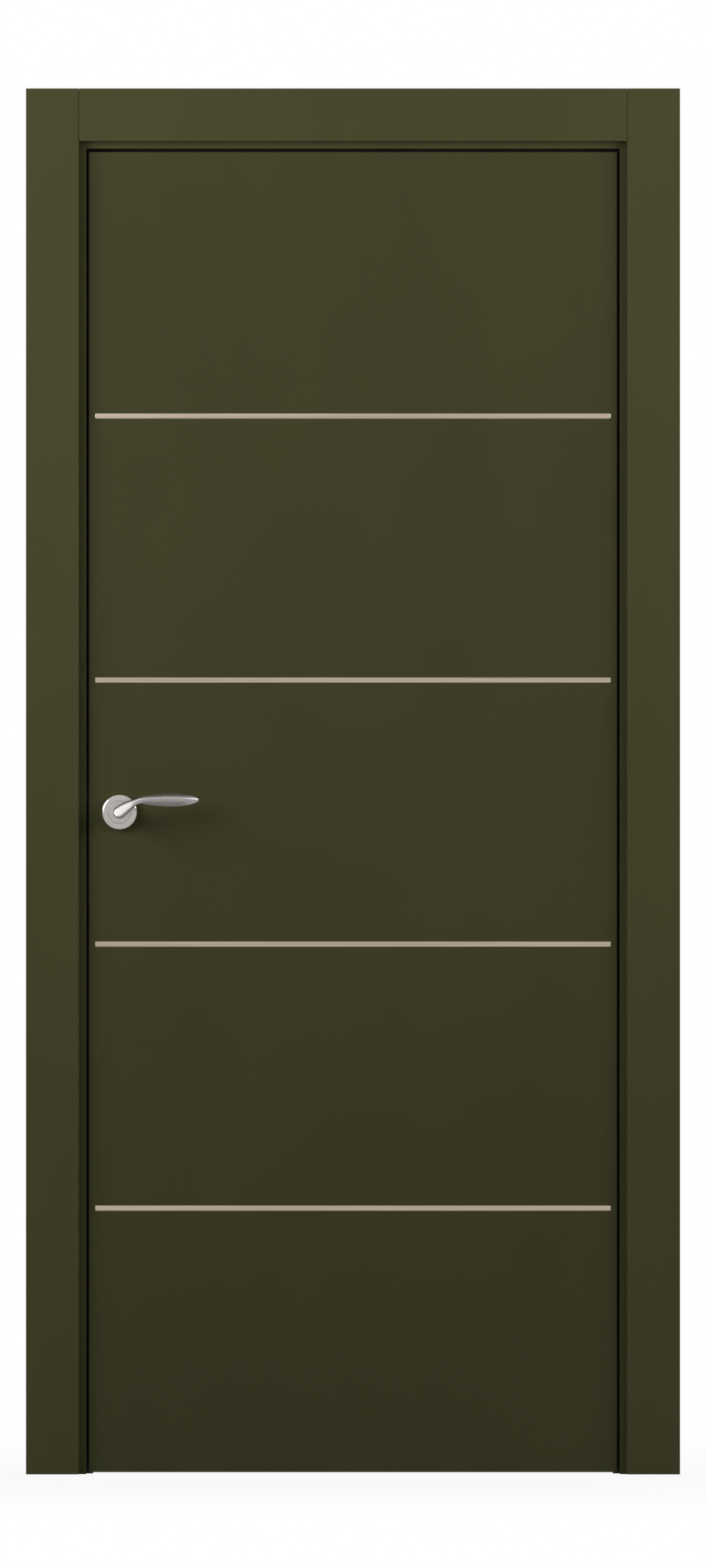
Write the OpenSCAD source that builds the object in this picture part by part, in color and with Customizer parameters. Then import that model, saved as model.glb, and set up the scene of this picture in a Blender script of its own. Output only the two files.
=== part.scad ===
// Flush interior door with four inlaid strips, lever latch set and concealed hinges, hung in its frame.
// Frame of reference: floor at z = 0, middle of the opening at x = 0, middle of the leaf at y = 0,
// pull side towards -y, hinges on the +x side.

/* [Leaf] */
// Width of the leaf
leaf_w = 800; // [600:10:1000]
// Height of the leaf
leaf_h = 2000; // [1800:10:2300]
// Thickness of the leaf
leaf_t = 40; // [39:0.5:44]
// Thickness of each facing board
skin_t = 6; // [5:0.25:6.5]
// Width of each stile
stile_w = 90; // [84:2:140]
// Height of each rail
rail_h = 80; // [50:5:160]
// Radius of the leaf's front and back edges
leaf_edge_r = 1; // [0.5:0.1:2]
// Diameter of the tubes in the core
tube_d = 20; // [10:1:24]
// Least width of core between two tubes
tube_web = 11; // [6:1:30]

/* [Inlay strips] */
// Height of a strip
strip_w = 8; // [4:0.5:14]
// Thickness of a strip
strip_t = 2.5; // [1.5:0.1:4]
// How far a strip stands proud of the facing
strip_proud = 0.4; // [0.2:0.1:1]
// Distance from the end of a strip to the edge of the leaf
strip_inset = 9.5; // [4:0.5:40]
// Radius of a strip's corners
strip_corner_r = 2; // [0.5:0.1:2.5]

/* [Gaps] */
// Gap between leaf and jamb at each side
side_gap = 4; // [3:0.25:5]
// Gap between leaf and head
head_gap = 5; // [3:0.5:8]
// Gap between leaf and floor
floor_gap = 3; // [2:0.5:15]
// Gap between the back of the leaf and the stop, which the seal fills
seal_gap = 3; // [2:0.25:5]

/* [Frame] */
// Thickness of a jamb at its rebate
jamb_t = 30; // [28:1:45]
// Depth of a jamb through the wall
jamb_d = 80; // [76:1:140]
// How far the stop stands out of the rebate
stop_t = 10; // [8:0.5:16]
// Radius of the jamb's front edge
arris_r = 1.2; // [0.5:0.1:2.5]
// Radius of the fixing holes through the jambs
fixing_r = 3.25; // [2.5:0.25:4]
// Distance of the end fixing holes from the ends of the leaf's height
fixing_end = 160; // [130:5:300]

/* [Architrave] */
// Width of the architrave
architrave_w = 80; // [50:1:110]
// Thickness of the architrave
architrave_t = 16; // [8:0.5:18]
// Width of jamb that stays in sight beside the architrave
reveal = 11; // [6:0.5:16]
// Thickness of the architrave's tongue
tongue_t = 5; // [3:0.25:7]
// Length of the tongue
tongue_l = 11; // [6:0.5:12]
// Distance of the tongue from the architrave's inner edge
tongue_inset = 6; // [4:0.5:10]
// Radius of the architrave's front edges
edge_r = 1.5; // [0.5:0.1:3]
// Width of the joint between the head and each leg
butt_gap = 0.3; // [0.1:0.1:0.6]

/* [Handle] */
// Height of the spindle above the bottom of the leaf
handle_h = 1000; // [850:5:1150]
// Distance of the spindle from the leaf's edge
backset = 46.5; // [45:0.5:60]
// Side of the square spindle
spindle_side = 8; // [6:0.5:9]
// Diameter of a rose
rose_d = 52; // [50:1:62]
// Thickness of a rose
rose_t = 9; // [7:0.5:13]
// Width of the bevel round a rose
rose_bevel = 2; // [1:0.25:3]
// Radius of the fine ring turned into a rose's face
rose_ring_r = 16.5; // [12:0.5:20]
// Diameter of the lever's hub
hub_d = 17.6; // [17:0.2:20]
// How far a lever stands out from the leaf
lever_out = 56; // [44:1:75]
// Length of a lever from the spindle's axis to the tip
lever_reach = 121; // [100:1:150]
// Height of the grip above the spindle's axis
lever_rise = 18; // [8:0.5:24]
// Height of the lever at its waist
waist_h = 9.6; // [7:0.2:13]
// Distance of the waist from the spindle's axis
waist_x = 26; // [20:1:34]
// Height of the grip where it is widest
belly_h = 20; // [14:0.5:28]
// Distance of the widest place from the spindle's axis
belly_x = 73; // [55:1:90]
// Depth of the grip
grip_depth = 13; // [8:0.5:15]
// Height of the grip's front ridge above its middle, as a share of half its height
grip_ridge = 0.3; // [0:0.05:0.4]
// Distance from one rose bolt to the other
rose_bolt_pitch = 38; // [36:0.5:40]
// Radius of a rose bolt
rose_bolt_r = 2; // [1.5:0.25:2.5]

/* [Latch] */
// How far the latch bolt stands out of its plate
latch_throw = 11; // [9:0.5:12]
// Height of the latch bolt
bolt_h = 24; // [18:1:28]
// Thickness of the latch bolt
bolt_t = 10; // [8:0.5:11]
// Height of the bolt's middle above the spindle
bolt_rise = 26; // [26:0.5:30]
// Thickness of the latch case
latch_case_t = 15; // [14:0.5:18]
// Wall of the latch case
latch_wall = 1.5; // [1:0.1:2]
// Height of the latch case above the spindle
latch_case_up = 45; // [43:1:55]
// Height of the latch case below the spindle
latch_case_down = 30; // [22:1:50]
// Depth of the latch case behind the spindle
latch_case_back = 33; // [28:1:36]
// Width of the latch plate in the leaf's edge
forend_w = 22; // [20:0.5:24]
// Length of the latch plate
forend_l = 170; // [140:2:220]
// Thickness of the latch plate
forend_t = 3; // [2:0.25:4]
// Length of the strike plate
strike_l = 84; // [76:2:130]
// Thickness of the strike plate
strike_t = 2; // [1.5:0.25:3]

/* [Hinges] */
// Distance of a hinge's middle from the end of the leaf
hinge_edge = 220; // [200:5:300]
// Height of a hinge case
hinge_h = 102; // [98:1:130]
// Depth of a hinge case
hinge_depth = 17; // [16.5:0.5:22]
// Wall of a hinge case
hinge_wall = 1.5; // [1:0.1:1.8]
// Distance of the main pin from the middle of the gap
pin_out = 4; // [3.75:0.05:4.25]
// Distance of the main pin behind the face of the leaf
pin_in = 14; // [13.5:0.1:14.5]
// Distance of the link's pin beyond the main pin
link_out = 6; // [5.75:0.05:6.25]
// Distance of the link's pin behind the main pin
link_in = 1; // [0.5:0.1:1.5]
// How far a link bows out to pass the corner of the pocket
link_bow = 4; // [3:0.25:4.5]
// Radius of the pins
pin_r = 1.75; // [1.25:0.05:2]
// Diameter of the eyes round the pins
eye_d = 6; // [5.5:0.1:6.2]
// Width of the arms between the eyes
arm_w = 5.4; // [4:0.1:5.4]
// Height of the middle link
mid_link_h = 14; // [10:0.5:16]
// Height of one arm plate
arm_h = 9.5; // [7:0.5:10]
// Height of one outer link
outer_link_h = 8.5; // [6:0.5:9]

/* [Hidden] */
$fn = 48;

lacquer = [0.25, 0.25, 0.16];
champagne = [0.66, 0.60, 0.53];
satin = [0.68, 0.67, 0.65];
steel = [0.55, 0.55, 0.56];
board = [0.72, 0.60, 0.44];
rubber = [0.08, 0.08, 0.07];
nylon = [0.11, 0.11, 0.11];

// Clearances: a turning pin, a piece let into another, and a piece that passes another
pin_play = 0.05;
let_in = 0.1;
pass = 0.4;
// Reach of a cutter beyond the faces that it cuts
over = 1;

// Frame
face_y = -leaf_t / 2;
opening_x = leaf_w / 2 + side_gap;
leaf_top = floor_gap + leaf_h;
opening_z = leaf_top + head_gap;
frame_back_y = face_y + jamb_d;
stop_y = leaf_t + seal_gap;
architrave_x = opening_x + reveal;
architrave_z = opening_z + reveal;
total_h = architrave_z + architrave_w;
mitre_size = 4 * (jamb_t + stop_t + jamb_d);
fixing_y = face_y + (stop_y + jamb_d) / 2;
fixing_count = 4;
fixing_pitch = (leaf_h - 2 * fixing_end) / (fixing_count - 1);
fixing_zs = [for (i = [0 : fixing_count - 1]) fixing_end + i * fixing_pitch];
fixing_sink = 3;

// Seal: a barb in a kerf of the stop, and a bulb between stop and leaf
barb_t = 3;
barb_l = 7;
bulb_trim = 1;
bulb_w = stop_t - bulb_trim;
seal_touch = 0.2;

// Screws
screw_r = 2;
screw_head_r = 4;
corner_screw_l = 60;
corner_screw_ys = [face_y + jamb_d * 0.25, face_y + jamb_d * 0.75];
small_screw_l = 25;
case_screw_l = hinge_depth + 10.5;
plate_screw_edge = 9;

// Leaf
core_t = leaf_t - 2 * skin_t;
core_w = leaf_w - 2 * stile_w;
core_h = leaf_h - 2 * rail_h;
tube_pitch = tube_d + tube_web;
tube_count = floor((core_w - tube_web) / tube_pitch);
field_count = 5;
strip_l = leaf_w - 2 * strip_inset;
strip_bevel = 0.5;

// Spindle and rose
spindle_x = -leaf_w / 2 + backset;
spindle_z = floor_gap + handle_h;
hub_r = hub_d / 2;
journal_step = 1.4;
journal_r = hub_r - journal_step;
rose_r = rose_d / 2;
rose_roof = 2;
rose_rim = 2.3;
rose_inner = rose_t - rose_roof;
ring_w = 0.6;
ring_deep = 0.5;
skin_hole_r = 9;
rose_bolt_flange = 1.5;
rose_bolt_head_r = rose_bolt_r + rose_bolt_flange;
rose_bolt_head_t = 2.5;
rose_bolt_short = 1;
rose_bolt_xs = [-rose_bolt_pitch / 2, rose_bolt_pitch / 2];

// Lever
hub_round = 3;
lever_base = 0.5;
grip_set = 0.6;
hub_blend = 0.4;
front_share = 0.7;
grip_mid = lever_out - grip_set - grip_depth * front_share;
socket_end = 10;
socket_out = lever_out - socket_end;
spindle_short = 1;
spindle_out = socket_out - spindle_short;
grub_r = 2.5;
grub_rise = 11;
grub_out = rose_t + grub_rise;
grub_sunk = 1;
rise_x = 40;
tip_h = 1.6;
tip_depth = 3;
tip_power = 2.3;
tip_return = 3;
section_power = 2.2;
lever_rings = 30;
lever_sides = 18;

// Latch
bolt_z = spindle_z + bolt_rise;
forend_x = -leaf_w / 2;
latch_front = forend_x + forend_t;
latch_rear = spindle_x + latch_case_back;
latch_inner = latch_case_t / 2 - latch_wall;
follower_r = 10;
follower_journal_r = 8;
follower_arm_w = 7;
follower_arm_t = 7;
latch_play = 1.2;
lug_x = spindle_x + follower_arm_w / 2 + latch_play;
lug_t = 4;
lug_down = 16;
tail_h = 10;
tail_t = 8;
arm_clear = 1;
follower_arm_up = bolt_rise - tail_h / 2 - arm_clear;
bolt_land = 1;
bolt_nose = 2;
bolt_head_l = 18;
bolt_tip = forend_x - latch_throw;
spring_r = 3.5;
spring_wire = 0.5;
spring_turns = 7;
spring_steps = 14;
spring_sides = 6;
strike_w = 26;
strike_deep = 16;
strike_room = 3;
forend_screw_z = forend_l / 2 - plate_screw_edge;
strike_screw_z = strike_l / 2 - plate_screw_edge;

// Hinge: pins as points seen from above, measured from the swing axis in the middle of the gap.
// The jamb's pins mirror the leaf's, and both parallelograms keep the axis where it is.
swing = [leaf_w / 2 + side_gap / 2, face_y];
jamb_pin = [pin_out, pin_in];
jamb_link_pin = jamb_pin + [link_out, link_in];
cross_pin = [0, 2 * pin_in];
leaf_arm_end = cross_pin + [link_out, link_in];
bow_side = [jamb_pin.y, jamb_pin.x] / norm(jamb_pin);
link_knee = (jamb_link_pin + leaf_arm_end) / 2 + link_bow * bow_side;
hinge_zs = [floor_gap + hinge_edge, leaf_top - hinge_edge];
plate_gap = 0.5;
arm_low = mid_link_h / 2 + plate_gap;
leaf_arm_low = arm_low + arm_h + plate_gap;
outer_low = leaf_arm_low + arm_h + plate_gap;
jamb_pocket = outer_low + outer_link_h + plate_gap;
leaf_pocket = outer_low - plate_gap / 2;
pin_seat = 6;
nose_h = outer_link_h;
lug_w = 8;
hinge_y = skin_t;
hinge_screw_z = (hinge_h / 2 + jamb_pocket) / 2;

// Turns a point over to the other side of the gap
function across(p) = [-p.x, p.y];
// Smooth step from 0 to 1
function ease(t) = (1 - cos(180 * t)) / 2;

// Lever sections, each at distance x from the spindle's axis
function lever_half_height(x) =
    x < waist_x ? hub_r - hub_blend + (waist_h / 2 - hub_r + hub_blend) * ease(x / waist_x)
    : x < belly_x ? (waist_h + (belly_h - waist_h) * ease((x - waist_x) / (belly_x - waist_x))) / 2
    : (tip_h + (belly_h - tip_h) * (1 - pow((x - belly_x) / (lever_reach - belly_x), tip_power))) / 2;
function lever_depth(x) =
    x < belly_x ? grip_depth
    : tip_depth + (grip_depth - tip_depth) * (1 - pow((x - belly_x) / (lever_reach - belly_x), 2));
function lever_ridge(x) = grip_ridge * ease(min(1, max(0, (x - waist_x) / (belly_x - waist_x))));
function lever_mid_z(x) = x < rise_x ? lever_rise * sin(90 * x / rise_x) : lever_rise;
function lever_mid_y(x) =
    x < belly_x ? -grip_mid
    : tip_return * ease((x - belly_x) / (lever_reach - belly_x)) - grip_mid;
function power_of(c) = sign(c) * pow(abs(c), 2 / section_power);
function lever_ring(x) = [
    for (j = [0 : lever_sides - 1])
        let (a = 360 * j / lever_sides, u = power_of(cos(a)), w = power_of(sin(a)))
        let (share = u < 0 ? front_share : 1 - front_share)
        let (lean = u < 0 ? lever_ridge(x) * u * u * (1 - w * w) : 0)
        [x, lever_mid_y(x) + lever_depth(x) * share * u,
         lever_mid_z(x) + lever_half_height(x) * (w + lean)]
];
// Rings lie closer together towards the tip, where the outline turns fastest
function lever_station(i) = lever_reach * sin(90 * i / lever_rings);

// Closed tube through a list of rings of equal length
module skin_rings(rings) {
    last = len(rings) - 1;
    sides = len(rings[0]);
    walls = [
        for (i = [0 : last - 1], j = [0 : sides - 1])
            let (k = (j + 1) % sides)
            [i * sides + j, (i + 1) * sides + j, (i + 1) * sides + k, i * sides + k]
    ];
    ends = [[for (j = [0 : sides - 1]) j], [for (j = [sides - 1 : -1 : 0]) last * sides + j]];
    polyhedron([for (r = rings) each r], concat(walls, ends));
}

// Block from its low corner to its high corner
module block(low, high) {
    translate(low)
        cube(high - low);
}

// Bar with square ends from one point of a plan to another
module bar(from, to, w) {
    run = to - from;
    translate(from)
        rotate(atan2(run.y, run.x))
            translate([0, -w / 2])
                square([norm(run), w]);
}

// Plate outline with an eye at each point and bars between them
module eyes_and_bars(points) {
    for (p = points)
        translate(p)
            circle(d = eye_d);
    for (i = [1 : len(points) - 1])
        bar(points[i - 1], points[i], arm_w);
}

// The corner between two edges that a round takes away
module round_off(r) {
    difference() {
        translate([-over, -over])
            square(r + over);
        translate([r, r])
            circle(r);
    }
}

// Upright pin in plan point p
module pin(p, low, high, r = pin_r) {
    translate([p.x, p.y, low])
        cylinder(r = r, h = high - low);
}

// Repeats a piece above and below the middle of a hinge
module above_and_below() {
    for (m = [0, 1])
        mirror([0, 0, m])
            children();
}

// Stands a piece on the swing axis at a height
module at_hinge(z) {
    translate([swing.x, swing.y, z])
        children();
}

module at_hinges() {
    for (z = hinge_zs)
        at_hinge(z)
            children();
}

// Countersunk screw along +x with its head's face at x = 0
module screw(l, play = 0) {
    rotate([0, 90, 0]) {
        cylinder(r = screw_r + play, h = l + play);
        translate([0, 0, -play])
            cylinder(r1 = screw_head_r + play, r2 = screw_r + play, h = screw_head_r - screw_r + play);
    }
}

// Jamb section: x across the jamb from the rebate's face, y back from the front edge
module jamb_section() {
    tongue_slot = tongue_l + over;
    difference() {
        union() {
            square([jamb_t, jamb_d]);
            translate([-stop_t, stop_y])
                square([stop_t + over, jamb_d - stop_y]);
        }
        round_off(arris_r);
        translate([-stop_t / 2 - barb_t / 2, stop_y - over])
            square([barb_t, barb_l + over]);
        for (y = [-over, jamb_d - tongue_slot])
            translate([reveal + tongue_inset - let_in, y])
                square([tongue_t + 2 * let_in, tongue_slot + over]);
    }
}

// Seal section in the same coordinates
module barb_section() {
    translate([-stop_t / 2 - barb_t / 2 + let_in, stop_y - over])
        square([barb_t - 2 * let_in, barb_l + over - 2 * let_in]);
}

module bulb_section() {
    translate([-stop_t / 2 - bulb_w / 2, leaf_t + seal_touch])
        square([bulb_w, seal_gap - seal_touch]);
}

// Architrave section: x from its inner edge, y back from the jamb's front edge
module architrave_face() {
    difference() {
        translate([0, -architrave_t])
            square([architrave_w, architrave_t]);
        translate([0, -architrave_t])
            round_off(edge_r);
        translate([architrave_w, -architrave_t])
            mirror([1, 0])
                round_off(edge_r);
    }
}

module architrave_tongue() {
    translate([tongue_inset, -over])
        square([tongue_t, tongue_l + over]);
}

// Stands a section on the floor at the hinge side
module stand(h) {
    translate([opening_x, face_y])
        linear_extrude(h)
            children();
}

// Lays a section along the head, turned so that its x points up
module lay(l) {
    translate([0, face_y, opening_z])
        rotate([0, -90, 0])
            linear_extrude(l, center = true)
                children();
}

// Turns what is on the front edge of the frame over to its back edge
module on_back() {
    translate([0, face_y + frame_back_y, 0])
        mirror([0, 1, 0])
            children();
}

// Half of space above or below the mitre at the upper hinge-side corner
module mitre(above) {
    translate([opening_x, 0, opening_z])
        rotate([0, -45, 0])
            translate([-mitre_size / 2, -mitre_size / 2, above ? 0 : -mitre_size])
                cube(mitre_size);
}

// One fixing hole with a countersink in the stop's face
module fixing_holes() {
    sink = fixing_sink + over;
    for (z = fixing_zs)
        translate([opening_x - stop_t, fixing_y, z])
            rotate([0, 90, 0]) {
                translate([0, 0, -over])
                    cylinder(r = fixing_r, h = jamb_t + stop_t + 2 * over);
                translate([0, 0, -over])
                    cylinder(r1 = fixing_r + sink, r2 = fixing_r, h = sink);
            }
}

// Screws that pull one upper corner together
module corner_pair(play = 0) {
    for (y = corner_screw_ys)
        translate([opening_x + jamb_t, y, opening_z + jamb_t / 2])
            mirror([1, 0, 0])
                screw(corner_screw_l, play);
}

// Jamb on the hinge side without its hardware
module plain_jamb() {
    difference() {
        stand(opening_z + jamb_t)
            jamb_section();
        mitre(true);
        fixing_holes();
        corner_pair(pin_play);
    }
}

module hinge_jamb() {
    color(lacquer)
        difference() {
            plain_jamb();
            at_hinges() {
                block([side_gap / 2 - over, hinge_y - let_in, -hinge_h / 2 - let_in],
                      [side_gap / 2 + hinge_depth + let_in, hinge_y + core_t + let_in, hinge_h / 2 + let_in]);
                case_screws(pin_play);
            }
        }
}

module lock_jamb() {
    color(lacquer)
        difference() {
            mirror([1, 0, 0])
                plain_jamb();
            block([-opening_x - strike_t, -strike_w / 2 - let_in, bolt_z - strike_l / 2 - let_in],
                  [-opening_x + over, strike_w / 2 + let_in, bolt_z + strike_l / 2 + let_in]);
            bolt_window([-opening_x - strike_deep, -opening_x], strike_room);
            strike_screw_pair(pin_play);
        }
}

module head_jamb() {
    color(lacquer)
        difference() {
            lay(2 * (opening_x + jamb_t))
                jamb_section();
            for (m = [0, 1])
                mirror([m, 0, 0]) {
                    mitre(false);
                    corner_pair(pin_play);
                }
        }
}

module side_seal() {
    color(rubber) {
        stand(opening_z - stop_t / 2 + bulb_w / 2)
            bulb_section();
        stand(opening_z - stop_t / 2 - barb_t / 2 - let_in)
            barb_section();
    }
}

module hinge_seal() {
    side_seal();
}

module lock_seal() {
    mirror([1, 0, 0])
        side_seal();
}

module head_seal() {
    color(rubber) {
        lay(2 * (opening_x - stop_t / 2 - bulb_w / 2 - let_in))
            bulb_section();
        lay(2 * (opening_x - stop_t / 2 - bulb_w / 2 - let_in))
            barb_section();
    }
}

// Leg of the architrave, with its tongue cut back below the mitre of the jambs
module side_architrave() {
    color(lacquer) {
        stand(total_h)
            translate([reveal, 0])
                architrave_face();
        stand(architrave_z)
            translate([reveal, 0])
                architrave_tongue();
    }
}

module head_architrave() {
    color(lacquer)
        lay(2 * (architrave_x - butt_gap))
            translate([reveal, 0]) {
                architrave_face();
                architrave_tongue();
            }
}

module front_right_architrave() {
    side_architrave();
}

module front_left_architrave() {
    mirror([1, 0, 0])
        side_architrave();
}

module front_head_architrave() {
    head_architrave();
}

module back_right_architrave() {
    on_back()
        side_architrave();
}

module back_left_architrave() {
    on_back()
        mirror([1, 0, 0])
            side_architrave();
}

module back_head_architrave() {
    on_back()
        head_architrave();
}

module corner_screws() {
    color(steel)
        for (m = [0, 1])
            mirror([m, 0, 0])
                corner_pair();
}

// Room for the latch bolt between two places along x
module bolt_window(xs, room) {
    block([xs[0], -bolt_t / 2 - room, bolt_z - bolt_h / 2 - room],
          [xs[1], bolt_t / 2 + room, bolt_z + bolt_h / 2 + room]);
}

module strike_screw_pair(play = 0) {
    for (s = [-1, 1])
        translate([-opening_x, 0, bolt_z + s * strike_screw_z])
            mirror([1, 0, 0])
                screw(small_screw_l, play);
}

module strike_plate() {
    color(satin)
        difference() {
            block([-opening_x - strike_t, -strike_w / 2, bolt_z - strike_l / 2],
                  [-opening_x, strike_w / 2, bolt_z + strike_l / 2]);
            bolt_window([-opening_x - strike_t - over, -opening_x + over], pass);
            strike_screw_pair(pin_play);
        }
}

module strike_screws() {
    color(steel)
        strike_screw_pair();
}

// Hinge

// Screws of the jamb's hinge case
module case_screws(play = 0) {
    above_and_below()
        translate([side_gap / 2, hinge_y + core_t / 2, hinge_screw_z])
            screw(case_screw_l, play);
}

// Case block with an open pocket, in the jamb
module case_shell(pocket_half) {
    difference() {
        block([side_gap / 2, hinge_y, -hinge_h / 2],
              [side_gap / 2 + hinge_depth, hinge_y + core_t, hinge_h / 2]);
        block([side_gap / 2 - over, hinge_y + hinge_wall, -pocket_half],
              [side_gap / 2 + hinge_depth - hinge_wall, hinge_y + core_t - hinge_wall, pocket_half]);
        case_screws(pin_play);
    }
}

// Lug that carries a pin in front of the pocket's back wall
module lug(w) {
    translate(jamb_pin)
        circle(d = w);
    bar(jamb_pin, [side_gap / 2 + hinge_depth - hinge_wall / 2, jamb_pin.y], w);
}

module jamb_hinge_case() {
    color(satin)
        difference() {
            union() {
                case_shell(jamb_pocket);
                linear_extrude(mid_link_h, center = true)
                    lug(lug_w);
            }
            pin(jamb_pin, -arm_low, arm_low, pin_r + pin_play);
            pin(jamb_link_pin, -jamb_pocket - pin_seat, jamb_pocket + pin_seat, pin_r + pin_play);
        }
}

module leaf_hinge_case() {
    color(satin)
        mirror([1, 0, 0])
            difference() {
                union() {
                    case_shell(leaf_pocket);
                    above_and_below()
                        translate([0, 0, leaf_pocket])
                            linear_extrude(outer_low + nose_h - leaf_pocket)
                                lug(eye_d);
                }
                above_and_below()
                    pin(jamb_pin, leaf_arm_low, outer_low + nose_h + pin_play, pin_r + pin_play);
                pin(jamb_link_pin, -outer_low - pin_seat, outer_low + pin_seat, pin_r + pin_play);
            }
}

module jamb_hinge_pins() {
    color(steel)
        at_hinges() {
            pin(jamb_pin, -arm_low - arm_h, arm_low + arm_h);
            pin(jamb_link_pin, -jamb_pocket - pin_seat + pin_play, jamb_pocket + pin_seat - pin_play);
        }
}

module leaf_hinge_pins() {
    color(steel)
        at_hinges() {
            above_and_below()
                pin(across(jamb_pin), leaf_arm_low, outer_low + nose_h);
            pin(across(jamb_link_pin), -outer_low - pin_seat + pin_play, outer_low + pin_seat - pin_play);
        }
}

module jamb_hinge_screws() {
    color(steel)
        at_hinges()
            case_screws();
}

module leaf_hinge_screws() {
    color(steel)
        at_hinges()
            mirror([1, 0, 0])
                case_screws();
}

// Plate with an eye and a bore at each point
module pinned_plate(points, low, h) {
    translate([0, 0, low])
        linear_extrude(h)
            eyes_and_bars(points);
}

module jamb_arms() {
    points = [jamb_pin, cross_pin, across(leaf_arm_end)];
    color(satin)
        at_hinges()
            above_and_below()
                difference() {
                    pinned_plate(points, arm_low, arm_h);
                    for (p = points)
                        pin(p, arm_low - over, arm_low + arm_h + over, pin_r + pin_play);
                }
}

module leaf_arms() {
    points = [across(jamb_pin), cross_pin, leaf_arm_end];
    color(satin)
        at_hinges()
            above_and_below()
                difference() {
                    pinned_plate(points, leaf_arm_low, arm_h);
                    for (p = points)
                        pin(p, leaf_arm_low - over, leaf_arm_low + arm_h + over, pin_r + pin_play);
                }
}

module leaf_arm_pins() {
    color(steel)
        at_hinges()
            above_and_below() {
                pin(cross_pin, arm_low, leaf_arm_low + arm_h);
                pin(leaf_arm_end, leaf_arm_low, outer_low + outer_link_h);
            }
}

module jamb_links() {
    points = [jamb_link_pin, link_knee, leaf_arm_end];
    color(satin)
        at_hinges()
            above_and_below()
                difference() {
                    pinned_plate(points, outer_low, outer_link_h);
                    for (p = [jamb_link_pin, leaf_arm_end])
                        pin(p, outer_low - over, outer_low + outer_link_h + over, pin_r + pin_play);
                }
}

module leaf_links() {
    points = [across(jamb_link_pin), across(link_knee), across(leaf_arm_end)];
    color(satin)
        at_hinges() {
            difference() {
                pinned_plate(points, -mid_link_h / 2, mid_link_h);
                pin(points[0], -mid_link_h, mid_link_h, pin_r + pin_play);
            }
            pin(points[2], -arm_low - arm_h, arm_low + arm_h);
        }
}

// Leaf

module rail(low) {
    color(board)
        block([-core_w / 2, -core_t / 2, low], [core_w / 2, core_t / 2, low + rail_h]);
}

module bottom_rail() {
    rail(floor_gap);
}

module top_rail() {
    rail(leaf_top - rail_h);
}

module tube_core() {
    color(board)
        difference() {
            block([-core_w / 2, -core_t / 2, floor_gap + rail_h],
                  [core_w / 2, core_t / 2, floor_gap + rail_h + core_h]);
            for (i = [0 : tube_count - 1])
                translate([(i - (tube_count - 1) / 2) * tube_pitch, 0, floor_gap + rail_h - over])
                    cylinder(d = tube_d, h = core_h + 2 * over);
        }
}

module hinge_stile() {
    color(lacquer)
        difference() {
            block([leaf_w / 2 - stile_w, -core_t / 2, floor_gap], [leaf_w / 2, core_t / 2, leaf_top]);
            at_hinges()
                mirror([1, 0, 0]) {
                    block([side_gap / 2 - over, hinge_y - over, -hinge_h / 2 - let_in],
                          [side_gap / 2 + hinge_depth + let_in, hinge_y + core_t + over, hinge_h / 2 + let_in]);
                    case_screws(pin_play);
                }
        }
}

module forend_screw_pair(play = 0) {
    for (s = [-1, 1])
        translate([forend_x, 0, bolt_z + s * forend_screw_z])
            screw(small_screw_l, play);
}

// Places something on each rose bolt's axis, which runs along y
module at_rose_bolts() {
    for (x = rose_bolt_xs)
        translate([spindle_x + x, 0, spindle_z])
            rotate([90, 0, 0])
                children();
}

module at_spindle() {
    translate([spindle_x, 0, spindle_z])
        rotate([90, 0, 0])
            children();
}

// Holes for the spindle and the rose bolts through the thickness of the leaf
module handle_holes() {
    at_spindle()
        cylinder(r = skin_hole_r, h = leaf_t + 2 * over, center = true);
    at_rose_bolts()
        cylinder(r = rose_bolt_r + pass, h = leaf_t + 2 * over, center = true);
}

module lock_stile() {
    color(lacquer)
        difference() {
            block([-leaf_w / 2, -core_t / 2, floor_gap], [-leaf_w / 2 + stile_w, core_t / 2, leaf_top]);
            block([forend_x - over, -latch_case_t / 2 - let_in, spindle_z - latch_case_down - let_in],
                  [latch_rear + let_in, latch_case_t / 2 + let_in, spindle_z + latch_case_up + let_in]);
            block([forend_x - over, -forend_w / 2 - let_in, bolt_z - forend_l / 2 - let_in],
                  [latch_front, forend_w / 2 + let_in, bolt_z + forend_l / 2 + let_in]);
            forend_screw_pair(pin_play);
            handle_holes();
        }
}

// Plan of a strip with its corners rounded
module strip_outline(grow) {
    r = strip_corner_r;
    square([strip_l + 2 * grow, strip_w + 2 * grow - 2 * r], center = true);
    square([strip_l + 2 * grow - 2 * r, strip_w + 2 * grow], center = true);
    for (x = [-1, 1], z = [-1, 1])
        translate([x * (strip_l / 2 + grow - r), z * (strip_w / 2 + grow - r)])
            circle(r);
}

// Places something on the facing at strip number i from the top, looking at the front
module at_strip(i) {
    translate([0, face_y, leaf_top - i * leaf_h / field_count])
        rotate([90, 0, 0])
            children();
}

// Flat bar with bevelled long edges, sunk into the facing up to its proud face
module strip(i) {
    sunk = strip_t - strip_proud;
    color(champagne)
        at_strip(i)
            intersection() {
                translate([0, 0, -sunk])
                    linear_extrude(strip_t)
                        strip_outline(0);
                rotate([90, 0, 90])
                    linear_extrude(strip_l, center = true)
                        polygon([
                            [-strip_w / 2, -sunk], [strip_w / 2, -sunk],
                            [strip_w / 2, strip_proud - strip_bevel],
                            [strip_w / 2 - strip_bevel, strip_proud],
                            [strip_bevel - strip_w / 2, strip_proud],
                            [-strip_w / 2, strip_proud - strip_bevel]
                        ]);
            }
}

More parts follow.
